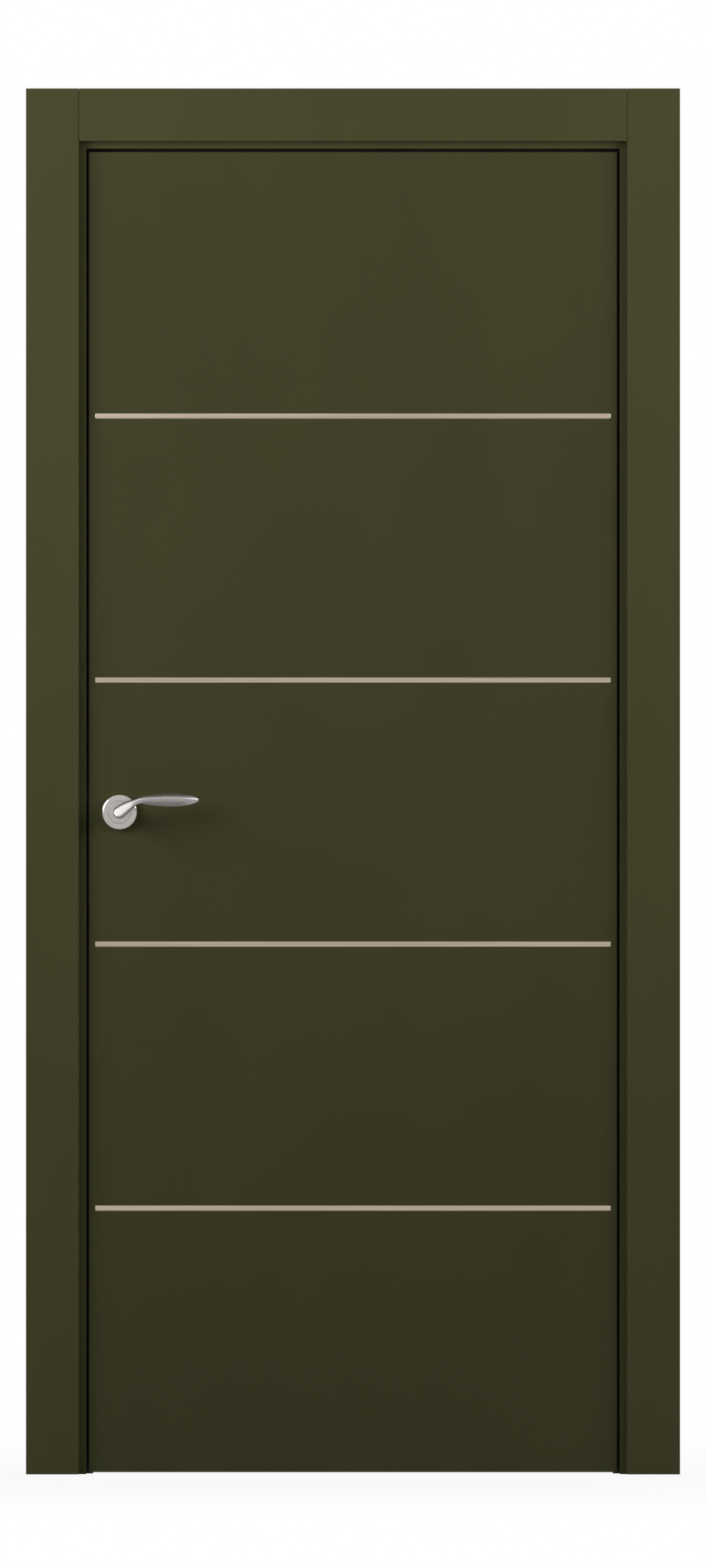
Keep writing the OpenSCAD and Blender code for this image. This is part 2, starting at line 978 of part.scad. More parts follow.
module skin() {
    color(lacquer)
        difference() {
            block([-leaf_w / 2, face_y, floor_gap], [leaf_w / 2, face_y + skin_t, leaf_top]);
            for (m = [0, 1]) {
                mirror([m, 0, 0])
                    translate([-leaf_w / 2, face_y, floor_gap - over])
                        linear_extrude(leaf_h + 2 * over)
                            round_off(leaf_edge_r);
                translate([0, face_y, m == 0 ? floor_gap : leaf_top])
                    mirror([0, 0, m])
                        rotate([90, 0, 90])
                            linear_extrude(leaf_w + 2 * over, center = true)
                                round_off(leaf_edge_r);
            }
            for (i = [1 : field_count - 1])
                at_strip(i)
                    translate([0, 0, strip_proud - strip_t])
                        linear_extrude(strip_t + over)
                            strip_outline(let_in);
            handle_holes();
        }
}

module front_skin() {
    skin();
}

module back_skin() {
    mirror([0, 1, 0])
        skin();
}

module front_strip_1() {
    strip(1);
}

module front_strip_2() {
    strip(2);
}

module front_strip_3() {
    strip(3);
}

module front_strip_4() {
    strip(4);
}

module back_strip_1() {
    mirror([0, 1, 0])
        strip(1);
}

module back_strip_2() {
    mirror([0, 1, 0])
        strip(2);
}

module back_strip_3() {
    mirror([0, 1, 0])
        strip(3);
}

module back_strip_4() {
    mirror([0, 1, 0])
        strip(4);
}

// Latch

// Holes through both sides of the latch case
module latch_holes() {
    at_spindle()
        cylinder(r = follower_journal_r + pin_play, h = latch_case_t + 2 * over, center = true);
    at_rose_bolts()
        cylinder(r = rose_bolt_r + pass, h = latch_case_t + 2 * over, center = true);
}

module latch_case() {
    low = spindle_z - latch_case_down;
    high = spindle_z + latch_case_up;
    color(steel)
        difference() {
            block([latch_front, -latch_case_t / 2, low], [latch_rear, latch_inner, high]);
            block([latch_front + latch_wall, -latch_inner, low + latch_wall],
                  [latch_rear - latch_wall, latch_inner + over, high - latch_wall]);
            bolt_window([latch_front - over, latch_front + latch_wall + over], pass);
            latch_holes();
        }
}

module latch_cover() {
    color(steel)
        difference() {
            block([latch_front, latch_inner, spindle_z - latch_case_down],
                  [latch_rear, latch_case_t / 2, spindle_z + latch_case_up]);
            latch_holes();
        }
}

module latch_forend() {
    color(satin)
        difference() {
            block([forend_x, -forend_w / 2, bolt_z - forend_l / 2],
                  [latch_front, forend_w / 2, bolt_z + forend_l / 2]);
            bolt_window([forend_x - over, latch_front + over], pass);
            forend_screw_pair(pin_play);
        }
}

module forend_screws() {
    color(steel)
        forend_screw_pair();
}

// Bolt with its slope on the side that meets the strike first, a tail, and a lug behind the follower's arm
module latch_bolt() {
    head_end = bolt_tip + bolt_head_l + latch_throw;
    color(nylon) {
        translate([0, 0, bolt_z - bolt_h / 2])
            linear_extrude(bolt_h)
                polygon([
                    [bolt_tip, -bolt_t / 2], [head_end, -bolt_t / 2], [head_end, bolt_t / 2],
                    [forend_x - bolt_land, bolt_t / 2], [bolt_tip, bolt_nose - bolt_t / 2]
                ]);
        block([head_end - over, -tail_t / 2, bolt_z - tail_h / 2],
              [lug_x + lug_t, tail_t / 2, bolt_z + tail_h / 2]);
        block([lug_x, -tail_t / 2, bolt_z - lug_down],
              [lug_x + lug_t, tail_t / 2, bolt_z + tail_h / 2]);
    }
}

// Coil spring between the bolt's tail and the rear wall of the case
module latch_spring() {
    low = lug_x + lug_t + spring_wire;
    high = latch_rear - latch_wall - spring_wire;
    steps = spring_turns * spring_steps;
    color(steel)
        translate([0, 0, bolt_z])
            skin_rings([
                for (i = [0 : steps])
                    let (a = 360 * i / spring_steps, x = low + (high - low) * i / steps)
                    [for (j = [0 : spring_sides - 1])
                        let (b = 360 * j / spring_sides, r = spring_r + spring_wire * cos(b))
                        [x - spring_wire * sin(b), r * cos(a), r * sin(a)]]
            ]);
}

module spindle_hole(out) {
    side = spindle_side + 2 * pin_play;
    cube([side, side, 2 * out], center = true);
}

module latch_follower() {
    color(steel)
        difference() {
            union() {
                at_spindle() {
                    cylinder(r = follower_r, h = 2 * latch_inner - pass, center = true);
                    cylinder(r = follower_journal_r, h = latch_case_t - pass, center = true);
                }
                block([spindle_x - follower_arm_w / 2, -follower_arm_t / 2, spindle_z + spindle_side],
                      [spindle_x + follower_arm_w / 2, follower_arm_t / 2, spindle_z + follower_arm_up]);
            }
            at_spindle()
                spindle_hole(latch_case_t);
        }
}

// Handle, modelled on the pull side with the leaf's face at z = 0 and turned onto the leaf

// Stands the pull side's handle pieces on the spindle's axis, pointing away from the leaf
module on_face() {
    translate([0, face_y, 0])
        at_spindle()
            children();
}

module rose() {
    color(satin)
        on_face()
            rotate_extrude()
                polygon([
                    [rose_r - rose_rim, 0], [rose_r, 0],
                    [rose_r, rose_t - rose_bevel], [rose_r - rose_bevel, rose_t],
                    [rose_ring_r + ring_w, rose_t], [rose_ring_r + ring_w / 2, rose_t - ring_deep],
                    [rose_ring_r, rose_t], [hub_r + pass, rose_t],
                    [hub_r + pass, rose_inner], [rose_r - rose_rim, rose_inner]
                ]);
}

// Holes for the two bolts in a rose's base, with a seat for the head in one of them
module base_bolt_holes(head) {
    for (x = rose_bolt_xs)
        translate([x, 0, -over]) {
            cylinder(r = rose_bolt_r + pin_play, h = rose_t);
            if (head)
                translate([0, 0, over + rose_inner - rose_bolt_head_t])
                    cylinder(r = rose_bolt_head_r + pin_play, h = rose_t);
        }
}

module rose_base(head) {
    color(steel)
        on_face()
            difference() {
                cylinder(r = rose_r - rose_rim - pass, h = rose_inner);
                translate([0, 0, -over])
                    cylinder(r = journal_r + pin_play, h = rose_t);
                base_bolt_holes(head);
            }
}

module front_rose() {
    rose();
}

module back_rose() {
    mirror([0, 1, 0])
        rose();
}

module front_rose_base() {
    rose_base(false);
}

module back_rose_base() {
    mirror([0, 1, 0])
        rose_base(true);
}

// Bolts from the back base through leaf and latch into the front base
module rose_bolts() {
    far = leaf_t + rose_inner;
    color(steel)
        mirror([0, 1, 0])
            on_face()
                for (x = rose_bolt_xs)
                    translate([x, 0, 0]) {
                        translate([0, 0, rose_bolt_short - far])
                            cylinder(r = rose_bolt_r, h = far + rose_inner - rose_bolt_head_t);
                        translate([0, 0, rose_inner - rose_bolt_head_t])
                            cylinder(r = rose_bolt_head_r, h = rose_bolt_head_t);
                    }
}

// Hub turned round the spindle's axis, with a swept grip that swells to a leaf shape
module lever() {
    color(satin)
        difference() {
            union() {
                on_face()
                    rotate_extrude()
                        difference() {
                            union() {
                                translate([0, lever_base])
                                    square([journal_r, rose_t]);
                                translate([0, rose_inner + pass])
                                    square([hub_r, lever_out - rose_inner - pass]);
                            }
                            translate([hub_r, lever_out])
                                rotate(180)
                                    round_off(hub_round);
                        }
                translate([spindle_x, face_y, spindle_z])
                    skin_rings([for (i = [0 : lever_rings]) lever_ring(lever_station(i))]);
            }
            on_face() {
                spindle_hole(socket_out);
                translate([0, 0, grub_out])
                    rotate([90, 0, 0])
                        cylinder(r = grub_r, h = hub_d);
            }
        }
}

module front_lever() {
    lever();
}

module back_lever() {
    mirror([0, 1, 0])
        lever();
}

module spindle() {
    color(steel)
        at_spindle()
            cube([spindle_side, spindle_side, leaf_t + 2 * spindle_out], center = true);
}

// Headless screws that clamp the levers to the spindle
module grub_screws() {
    color(steel)
        for (m = [0, 1])
            mirror([0, m, 0])
                on_face()
                    translate([0, -spindle_side / 2 - pin_play, grub_out])
                        rotate([90, 0, 0])
                            cylinder(r = grub_r - pin_play, h = hub_r - spindle_side / 2 - grub_sunk);
}

lock_jamb();
hinge_jamb();
head_jamb();
lock_seal();
hinge_seal();
head_seal();
front_left_architrave();
front_right_architrave();
front_head_architrave();
back_left_architrave();
back_right_architrave();
back_head_architrave();
corner_screws();
strike_plate();
strike_screws();
at_hinge(hinge_zs[1]) jamb_hinge_case();  // upper_jamb_hinge_case
at_hinge(hinge_zs[0]) jamb_hinge_case();  // lower_jamb_hinge_case
jamb_hinge_pins();
jamb_hinge_screws();
lock_stile();
hinge_stile();
top_rail();
bottom_rail();
tube_core();
front_skin();
back_skin();
front_strip_1();
front_strip_2();
front_strip_3();
front_strip_4();
back_strip_1();
back_strip_2();
back_strip_3();
back_strip_4();
at_hinge(hinge_zs[1]) leaf_hinge_case();  // upper_leaf_hinge_case
at_hinge(hinge_zs[0]) leaf_hinge_case();  // lower_leaf_hinge_case
leaf_hinge_pins();
leaf_hinge_screws();
latch_case();
latch_cover();
latch_forend();
forend_screws();
latch_spring();
front_rose();
back_rose();
front_rose_base();
back_rose_base();
rose_bolts();
front_lever();
back_lever();
spindle();
grub_screws();
latch_follower();
latch_bolt();
jamb_arms();
jamb_links();
leaf_arms();
leaf_arm_pins();
leaf_links();
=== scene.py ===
# %% [markdown]
# # A painted interior door in its frame
#
# The construction model already holds every board, hinge plate and screw in its place. Here it gets its
# looks: paint, brushed metal, light and a camera. Only the pieces that the eye reads as curved or
# polished are made again with finer surfaces, each exactly where the plain solid stands.

import bpy
import numpy as np
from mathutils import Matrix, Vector


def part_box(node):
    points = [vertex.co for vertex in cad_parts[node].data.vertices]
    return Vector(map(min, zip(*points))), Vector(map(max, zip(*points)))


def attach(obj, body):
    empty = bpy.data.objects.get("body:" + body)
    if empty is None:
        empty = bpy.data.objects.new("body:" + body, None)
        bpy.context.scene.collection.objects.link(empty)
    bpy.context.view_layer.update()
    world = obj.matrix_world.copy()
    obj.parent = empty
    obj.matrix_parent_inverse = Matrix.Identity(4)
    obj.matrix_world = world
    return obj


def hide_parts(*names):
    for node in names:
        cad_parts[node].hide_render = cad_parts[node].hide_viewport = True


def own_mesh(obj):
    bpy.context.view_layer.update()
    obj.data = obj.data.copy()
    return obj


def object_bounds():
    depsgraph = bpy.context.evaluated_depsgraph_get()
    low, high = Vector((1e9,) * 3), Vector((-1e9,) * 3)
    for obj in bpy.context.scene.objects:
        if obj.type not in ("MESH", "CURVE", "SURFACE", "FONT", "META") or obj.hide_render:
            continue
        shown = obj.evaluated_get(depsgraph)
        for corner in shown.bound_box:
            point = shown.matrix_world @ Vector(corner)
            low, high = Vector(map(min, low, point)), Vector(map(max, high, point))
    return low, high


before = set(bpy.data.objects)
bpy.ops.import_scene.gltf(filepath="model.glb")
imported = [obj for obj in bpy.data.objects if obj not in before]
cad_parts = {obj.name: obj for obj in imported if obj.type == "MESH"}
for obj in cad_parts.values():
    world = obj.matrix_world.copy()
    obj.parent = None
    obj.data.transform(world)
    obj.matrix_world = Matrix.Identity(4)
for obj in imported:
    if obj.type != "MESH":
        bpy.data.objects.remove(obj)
cad_box = [[float(v) for v in corner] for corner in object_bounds()]
scene = bpy.context.scene
scene.view_settings.view_transform = "Standard"
print("door box in metres:", cad_box)

# %% [markdown]
# ## Helpers for surfaces
#
# A curved piece is a grid: rows go along the piece and columns go round it. Numpy works out all the
# points at once, and a small function joins them with faces into a closed skin. The levers, the roses
# and the metal strips all need it, so it comes first.

# %% From a grid of points to a closed skin
def skin_faces(rows, columns):
    """Quads between neighbouring rows, where every row is a closed ring and point (i, j) has the number
    i * columns + j."""
    i = np.arange(rows - 1)[:, None]
    j = np.arange(columns)[None, :]
    right = (j + 1) % columns
    corners = [i * columns + j, i * columns + right, (i + 1) * columns + right, (i + 1) * columns + j]
    return np.stack(np.broadcast_arrays(*corners), axis=-1).reshape(-1, 4)


def close_shell(rings, capped):
    """Points and faces of one closed skin: flat caps on the first and last ring, or the last ring joined
    to the first, for a profile that runs back to its start."""
    rows, columns, _ = rings.shape
    points = rings.reshape(-1, 3)
    if capped:
        first, last = np.arange(columns)[::-1], np.arange(columns) + (rows - 1) * columns
        return points, skin_faces(rows, columns).tolist() + [first.tolist(), last.tolist()]
    return points, (skin_faces(rows + 1, columns) % (rows * columns)).tolist()


print("two rings of four points make", len(skin_faces(2, 4)), "faces")

# %% [markdown]
# Points and faces become a mesh, and the mesh becomes a piece that rides on one body of the door. Faces
# have to point outwards. The sign of the volume tells whether they do, whichever way a profile was drawn,
# so a skin that is inside out is simply turned.

# %% From closed skins to a piece of the door
def signed_volume(mesh):
    """Sum of a . (b x c) / 6 over all triangles with corners a, b, c: positive if they face outwards."""
    mesh.calc_loop_triangles()
    corners = np.empty(len(mesh.loop_triangles) * 3, dtype=np.int32)
    mesh.loop_triangles.foreach_get("vertices", corners)
    points = np.empty(len(mesh.vertices) * 3, dtype=np.float32)
    mesh.vertices.foreach_get("co", points)
    a, b, c = points.reshape(-1, 3)[corners.reshape(-1, 3)].astype(float).transpose(1, 0, 2)
    return float(np.einsum("ij,ij->i", a, np.cross(b, c)).sum() / 6)


def add_piece(name, shells, body, nodes, material, capped=True, crease_degrees=35):
    """Makes one mesh of closed skins (each an array of rows, columns, xyz), turns all faces outwards, and
    puts the piece on its body in place of the plain nodes."""
    points, faces, start = [], [], 0
    for rings in shells:
        shell_points, shell_faces = close_shell(rings, capped)
        points.append(shell_points)
        faces += [[start + corner for corner in face] for face in shell_faces]
        start += len(shell_points)
    mesh = bpy.data.meshes.new(name)
    mesh.from_pydata(np.concatenate(points).tolist(), [], faces)
    mesh.validate()
    if signed_volume(mesh) < 0:
        mesh.flip_normals()
    mesh.polygons.foreach_set("use_smooth", np.ones(len(mesh.polygons), dtype=bool))
    mesh.set_sharp_from_angle(angle=np.radians(crease_degrees))
    mesh.materials.append(material)
    piece = bpy.data.objects.new(name, mesh)
    scene.collection.objects.link(piece)
    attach(piece, body)
    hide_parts(*nodes)
    print(name, len(mesh.polygons), "faces on", body)
    return piece


# %% [markdown]
# ## Helpers for finishes
#
# No real surface has one flat colour. Paint has a fine spray texture and drifts a little in tone, and
# brushed metal has streaks along the stroke of the brush. Both can be written as noise in the object's
# own coordinates, without pictures: its stretch along x, y and z makes it grainy or streaky.

# %% A finish made of two layers of noise
TONE_DETAIL, GRAIN_DETAIL = 3.0, 4.0
NOISE_LOW, NOISE_HIGH = 0.3, 0.7
BUMP_STRENGTH = 0.6


def linear(red, green, blue):
    """A screen colour of 0 to 255 as the light value of a shader: the standard screen curve, undone."""
    screen = np.array([red, green, blue]) / 255
    light = np.where(screen <= 0.04045, screen / 12.92, ((screen + 0.055) / 1.055) ** 2.4)
    return (*light.tolist(), 1.0)


def noise_layer(tree, stretch, detail):
    """Noise on Object coordinates, with stretch giving the number of waves per metre along x, y and z."""
    place = tree.nodes.new("ShaderNodeTexCoord")
    mapping = tree.nodes.new("ShaderNodeMapping")
    mapping.inputs["Scale"].default_value = stretch
    noise = tree.nodes.new("ShaderNodeTexNoise")
    noise.inputs["Scale"].default_value = 1.0
    noise.inputs["Detail"].default_value = detail
    tree.links.new(place.outputs["Object"], mapping.inputs["Vector"])
    tree.links.new(mapping.outputs["Vector"], noise.inputs["Vector"])
    return noise


def make_finish(name, dark, light, drift, grain, rough, relief, metallic=0.0, anisotropic=0.0, specular=0.5):
    """A surface whose colour drifts from dark to light with one noise (drift waves per metre), and whose
    roughness and height follow a finer one (grain waves per metre), with relief the height in metres."""
    material = bpy.data.materials.new(name)
    material.use_nodes = True
    tree = material.node_tree
    shader = tree.nodes["Principled BSDF"]
    shader.inputs["Metallic"].default_value = metallic
    shader.inputs["Anisotropic"].default_value = anisotropic
    shader.inputs["Specular IOR Level"].default_value = specular
    tone = noise_layer(tree, drift, TONE_DETAIL)
    ramp = tree.nodes.new("ShaderNodeValToRGB")
    ramp.color_ramp.elements[0].position = NOISE_LOW
    ramp.color_ramp.elements[1].position = NOISE_HIGH
    ramp.color_ramp.elements[0].color = linear(*dark)
    ramp.color_ramp.elements[1].color = linear(*light)
    tree.links.new(tone.outputs["Fac"], ramp.inputs["Fac"])
    tree.links.new(ramp.outputs["Color"], shader.inputs["Base Color"])
    texture = noise_layer(tree, grain, GRAIN_DETAIL)
    gloss = tree.nodes.new("ShaderNodeMapRange")
    gloss.inputs["From Min"].default_value = NOISE_LOW
    gloss.inputs["From Max"].default_value = NOISE_HIGH
    gloss.inputs["To Min"].default_value = rough[0]
    gloss.inputs["To Max"].default_value = rough[1]
    tree.links.new(texture.outputs["Fac"], gloss.inputs["Value"])
    tree.links.new(gloss.outputs["Result"], shader.inputs["Roughness"])
    bump = tree.nodes.new("ShaderNodeBump")
    bump.inputs["Strength"].default_value = BUMP_STRENGTH
    bump.inputs["Distance"].default_value = relief
    tree.links.new(texture.outputs["Fac"], bump.inputs["Height"])
    tree.links.new(bump.outputs["Normal"], shader.inputs["Normal"])
    return material


print("a screen grey of 128 is a light value of", round(linear(128, 128, 128)[0], 3))

# %% [markdown]
# ## Olive lacquer
#
# Leaf, frame and architraves carry the same matt lacquer, sprayed on smooth board. Close up it has a
# faint stipple of about a millimetre, and over the height of the door its tone moves by only a few
# percent. It is nearly without gloss, so the roughness stays high and the light alone draws the boards.
# The leaf's lacquer is set a shade deeper than that of architraves and jambs.

# %% Paint and board finishes
MM = 0.001
TONE_SPREAD, GREEN_SHARE, BLUE_SHARE = 1.5, 0.995, 0.625


def make_lacquer(name, tone):
    """Olive of one tone: red and green about there on the screen scale, blue at five eighths of it."""
    low, high = tone - TONE_SPREAD, tone + TONE_SPREAD
    return make_finish(
        name, dark=(low, low, BLUE_SHARE * low), light=(high, GREEN_SHARE * high, BLUE_SHARE * high),
        drift=(5, 5, 3), grain=(800, 800, 800), rough=(0.52, 0.64), relief=0.06 * MM, specular=0.05,
    )


lacquer = make_lacquer("frame_lacquer", 67)
leaf_lacquer = make_lacquer("leaf_lacquer", 62)
board = make_finish(
    "bare_board", dark=(150, 121, 86), light=(186, 158, 118),
    drift=(60, 60, 9), grain=(420, 420, 60), rough=(0.7, 0.85), relief=0.15 * MM,
)
rubber = make_finish(
    "seal_rubber", dark=(17, 17, 16), light=(25, 25, 23),
    drift=(80, 80, 20), grain=(900, 900, 300), rough=(0.6, 0.75), relief=0.1 * MM,
)
nylon = make_finish(
    "black_nylon", dark=(27, 27, 27), light=(34, 34, 33),
    drift=(90, 90, 90), grain=(1200, 1200, 1200), rough=(0.5, 0.62), relief=0.03 * MM, specular=0.2,
)
print("paint, board, rubber and nylon are ready")

# %% [markdown]
# ## Metals
#
# The strips are champagne aluminium, brushed along their length: the noise is long in x and very short
# across. The lever is satin nickel with a much finer stroke. Hinges are zinc castings, a little rougher
# and greyer, and screws, pins and latch are plated steel.

# %% Metal finishes
champagne = make_finish(
    "champagne_aluminium", dark=(163, 148, 133), light=(181, 165, 149),
    drift=(3, 260, 260), grain=(14, 2400, 2400), rough=(0.22, 0.3), relief=0.012 * MM,
    metallic=1.0, anisotropic=0.4,
)
nickel = make_finish(
    "satin_nickel", dark=(172, 169, 165), light=(180, 177, 173),
    drift=(40, 40, 90), grain=(160, 1500, 2200), rough=(0.15, 0.22), relief=0.008 * MM, metallic=1.0,
)
bright = make_finish(
    "bright_nickel", dark=(156, 154, 153), light=(166, 164, 163),
    drift=(40, 40, 90), grain=(160, 1500, 2200), rough=(0.25, 0.31), relief=0.006 * MM, metallic=1.0,
)
casting = make_finish(
    "hinge_casting", dark=(138, 137, 134), light=(158, 156, 152),
    drift=(90, 90, 90), grain=(1300, 1300, 1300), rough=(0.36, 0.5), relief=0.03 * MM, metallic=1.0,
)
steel = make_finish(
    "plated_steel", dark=(160, 159, 155), light=(184, 182, 176),
    drift=(120, 120, 120), grain=(900, 900, 900), rough=(0.26, 0.38), relief=0.02 * MM, metallic=1.0,
)
print("metals are ready")

# %% [markdown]
# ## Dress the plain solids
#
# Each solid takes one of these finishes. Boards that show are lacquered on every side, as in a shop that
# sprays the parts before they are joined; the tubes inside the leaf stay bare.

# %% Give every solid its finish
finishes = [
    (lacquer, ["architrave", "jamb"]),
    (leaf_lacquer, ["skin", "stile", "rail"]),
    (board, ["tube_core"]),
    (rubber, ["seal"]),
    (casting, ["hinge_case", "arms", "links", "latch_case", "latch_cover"]),
    (nickel, ["lever", "rose", "strike_plate", "forend"]),
    (nylon, ["latch_bolt"]),
    (champagne, ["strip"]),
    (steel, ["screws", "pins", "rose_bolts", "spring", "spindle", "follower", "base"]),
]


def finish_of(node):
    """The last finish in the list with a word of the node's name, so that a screw in a jamb is steel."""
    found = [material for material, words in finishes if any(word in node for word in words)]
    return found[-1]


for node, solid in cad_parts.items():
    solid.data.materials.clear()
    solid.data.materials.append(finish_of(node))
print({node: finish_of(node).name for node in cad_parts})

# %% [markdown]
# ## Metal strips
#
# Four flat bars lie in shallow grooves across each face of the leaf. A sawn bar has a tiny round on its
# front edges, and that round is what glints. The bar is a rounded rectangle carried along a short path
# from back to front, and the last few rings step inwards along a quarter circle.

# %% Bars with a rounded front edge
CORNER_POINTS, EDGE_STEPS = 7, 6


def rounded_rectangle(half_x, half_z, radius):
    """Ring of x, z: a quarter circle of that radius at each corner, four of them one after another."""
    turn = np.linspace(0, np.pi / 2, CORNER_POINTS)
    quarter = np.arange(4)[:, None] * np.pi / 2
    angle = (quarter + turn).ravel()
    side_x = np.repeat([1, -1, -1, 1], CORNER_POINTS) * (half_x - radius)
    side_z = np.repeat([1, 1, -1, -1], CORNER_POINTS) * (half_z - radius)
    return np.stack([side_x + radius * np.cos(angle), side_z + radius * np.sin(angle)], axis=-1)


def strip_rings(node, edge_round, corner_round):
    """From the back straight to the start of the round, then a quarter circle in to the front face."""
    low, high = (np.array(corner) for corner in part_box(node))
    middle, half = (low + high) / 2, (high - low) / 2
    outward = np.sign(middle[1])
    arc = np.linspace(0, np.pi / 2, EDGE_STEPS)
    inset = np.concatenate([[0.0], edge_round * (1 - np.cos(arc))])
    out = np.concatenate([[-half[1]], half[1] - edge_round * (1 - np.sin(arc))])
    rings = []
    for step, depth in zip(inset, out):
        ring = rounded_rectangle(half[0] - step, half[2] - step, corner_round - step)
        level = np.full(len(ring), middle[1] + outward * depth)
        rings.append(np.stack([middle[0] + ring[:, 0], level, middle[2] + ring[:, 1]], axis=-1))
    return np.array(rings)


strip_nodes = sorted(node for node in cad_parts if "strip_" in node)
for node in strip_nodes:
    rings = strip_rings(node, edge_round=0.6 * MM, corner_round=2.0 * MM)
    add_piece(node + "_bar", [rings], "leaf", [node], champagne)


# %% [markdown]
# ## Roses
#
# The round cover behind the lever is turned on a lathe: flat face, one fine decorative groove and a
# bright chamfer. Its profile is a short list of radius and height, and a full turn about the spindle
# makes the cover. It is a cup with a hole, so the profile runs back inside and closes on itself.

# %% Turned covers
TURN_POINTS = 128
RIM_CORNER = [(0, -1), (0.12, -0.25), (0.6, 0.2), (1.2, 0.69)]
FACE_CORNER = [(-1.2, -0.69), (-0.5, -0.31), (0.1, -0.07), (1, 0), (2, 0)]


def rose_rings(node):
    """Profile (radius, height over the leaf) turned about the y axis: x = radius cos t, z = radius sin t.
    Steps (inwards, upwards) in multiples of one small softness round the bevel's two corners."""
    low, high = (np.array(corner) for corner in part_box(node))
    middle = (low + high) / 2
    outward = np.sign(middle[1])
    seat = low[1] if outward > 0 else high[1]
    radius = (high[0] - low[0]) / 2
    height = high[1] - low[1]
    bevel, rise, wall, hole = 2.0 * MM, 1.15 * MM, 1.2 * MM, 9.2 * MM
    groove, groove_half, groove_depth = 17.2 * MM, 0.3 * MM, 0.45 * MM
    soft = 0.2 * MM
    rim = [(radius - inward * soft, height - rise + up * soft) for inward, up in RIM_CORNER]
    edge = [(radius - bevel - inward * soft, height + up * soft) for inward, up in FACE_CORNER]
    profile = np.array([
        (radius, 0),
        *rim,
        *edge,
        (groove + groove_half, height),
        (groove, height - groove_depth),
        (groove - groove_half, height),
        (hole + 2 * soft, height),
        (hole + soft, height),
        (hole, height - soft),
        (hole, height - wall),
        (radius - wall, height - wall),
        (radius - wall, 0),
    ])
    turn = np.linspace(0, 2 * np.pi, TURN_POINTS, endpoint=False)
    x = middle[0] + profile[:, :1] * np.cos(turn)
    z = middle[2] + profile[:, :1] * np.sin(turn)
    y = np.broadcast_to(seat + outward * profile[:, 1:], x.shape)
    return np.stack([x, y, z], axis=-1)


for side in ("front", "back"):
    node = side + "_rose"
    add_piece(side + "_rose_cover", [rose_rings(node)], "leaf", [node], nickel, capped=False,
              crease_degrees=50)

# %% [markdown]
# ## Levers
#
# The handle is a casting with a round neck and a blade. The blade starts over the spindle as a flat drop,
# narrows to a slender waist as it rises, and widens into a leaf-shaped grip. Booleans would leave hard
# seams on that line, so the blade is one loft: a centre line with sections square to it, whose height,
# depth and form change along the way. First comes its outline, in millimetres from the spindle's axis.

# %% Outline of the blade
HUB_R = 8.8
WAIST_X, WAIST_HALF = 27.0, 5.2
BELLY_X, BELLY_HALF = 80.0, 9.9
TIP_HALF, TIP_ROUND, ROUND_SHARE = 1.6, 2.5, 0.99
WIDEN_POWER, TAPER_POWER = 0.55, 2.3


def ease(t):
    """Half a cosine wave from 0 to 1: (1 - cos(180 degrees x t)) / 2, held flat outside that range."""
    return (1 - np.cos(np.pi * np.clip(t, 0, 1))) / 2


def tip_share(s):
    """Way from the belly to the tip, as a share of 0 to 1."""
    return np.clip((s - BELLY_X) / (s[-1] - BELLY_X), 0, 1)


def tip_end(s):
    """Share of the section left in the round at the tip: sqrt(1 - 0.99 x (way into the round)^2)."""
    into = np.clip((s - s[-1]) / TIP_ROUND + 1, 0, 1)
    return np.sqrt(1 - ROUND_SHARE * into**2)


def blade_half_height(s):
    """A circle's arc over the hub's end, eased from hub to waist to belly, and then a blunt tip."""
    end = np.sqrt(np.clip(HUB_R**2 - s**2, 0, None))
    drop = HUB_R + (WAIST_HALF - HUB_R) * ease(s / WAIST_X)
    widening = ease((s - WAIST_X) / (BELLY_X - WAIST_X)) ** WIDEN_POWER
    blade = WAIST_HALF + (BELLY_HALF - WAIST_HALF) * widening
    tip = tip_end(s) * (TIP_HALF + (BELLY_HALF - TIP_HALF) * (1 - tip_share(s) ** TAPER_POWER))
    return np.select([s < 0, s < WAIST_X, s < BELLY_X], [end, drop, blade], tip)


print("the blade is", 2 * WAIST_HALF, "mm high at its waist and", 2 * BELLY_HALF, "mm at its belly")

# %% [markdown]
# Seen from above, the grip keeps an even distance from the leaf, and its tip returns a little. Most of its
# depth lies in front of the centre line, so the outline's edge is near the back of the grip.

# %% Centre line and depth of the blade
RISE_X, RISE_Z = 40.0, 18.4
GRIP_DEPTH, FRONT_SHARE, GRIP_SET, BACK_LEAST = 13.0, 0.9, 0.4, 0.2
TIP_DEPTH, TIP_RETURN = 3.0, 3.0
RIM_ROUND = 2.5


def blade_centre(s, stand_off):
    """Centre line: straight on over the hub's end, a quarter sine up to the grip's level, then level. The
    tip returns a little towards the leaf. Also gives the slope of the line at each place."""
    start = np.arctan(RISE_Z * np.pi / 2 / RISE_X)
    x = np.where(s < 0, s * np.cos(start), s)
    turn = np.pi / 2 * np.clip(s / RISE_X, 0, 1)
    z = np.where(s < 0, s * np.sin(start), RISE_Z * np.sin(turn))
    slope = np.arctan(RISE_Z * np.pi / 2 / RISE_X * np.cos(turn))
    y = stand_off - GRIP_SET - GRIP_DEPTH * FRONT_SHARE - TIP_RETURN * ease(tip_share(s))
    return np.stack([x, y, z], axis=-1), slope


def blade_depths(s):
    """Depth in front of and behind the centre line: even, less a quarter circle at the hub's end, and
    falling off with the square of the distance towards the tip."""
    depth = tip_end(s) * (TIP_DEPTH + (GRIP_DEPTH - TIP_DEPTH) * (1 - tip_share(s) ** 2))
    rim = np.clip((-s - HUB_R + RIM_ROUND) / RIM_ROUND, 0, 1)
    cut = RIM_ROUND * (1 - np.sqrt(1 - rim**2))
    return depth * FRONT_SHARE - cut, np.clip(depth * (1 - FRONT_SHARE) - cut, BACK_LEAST, None)


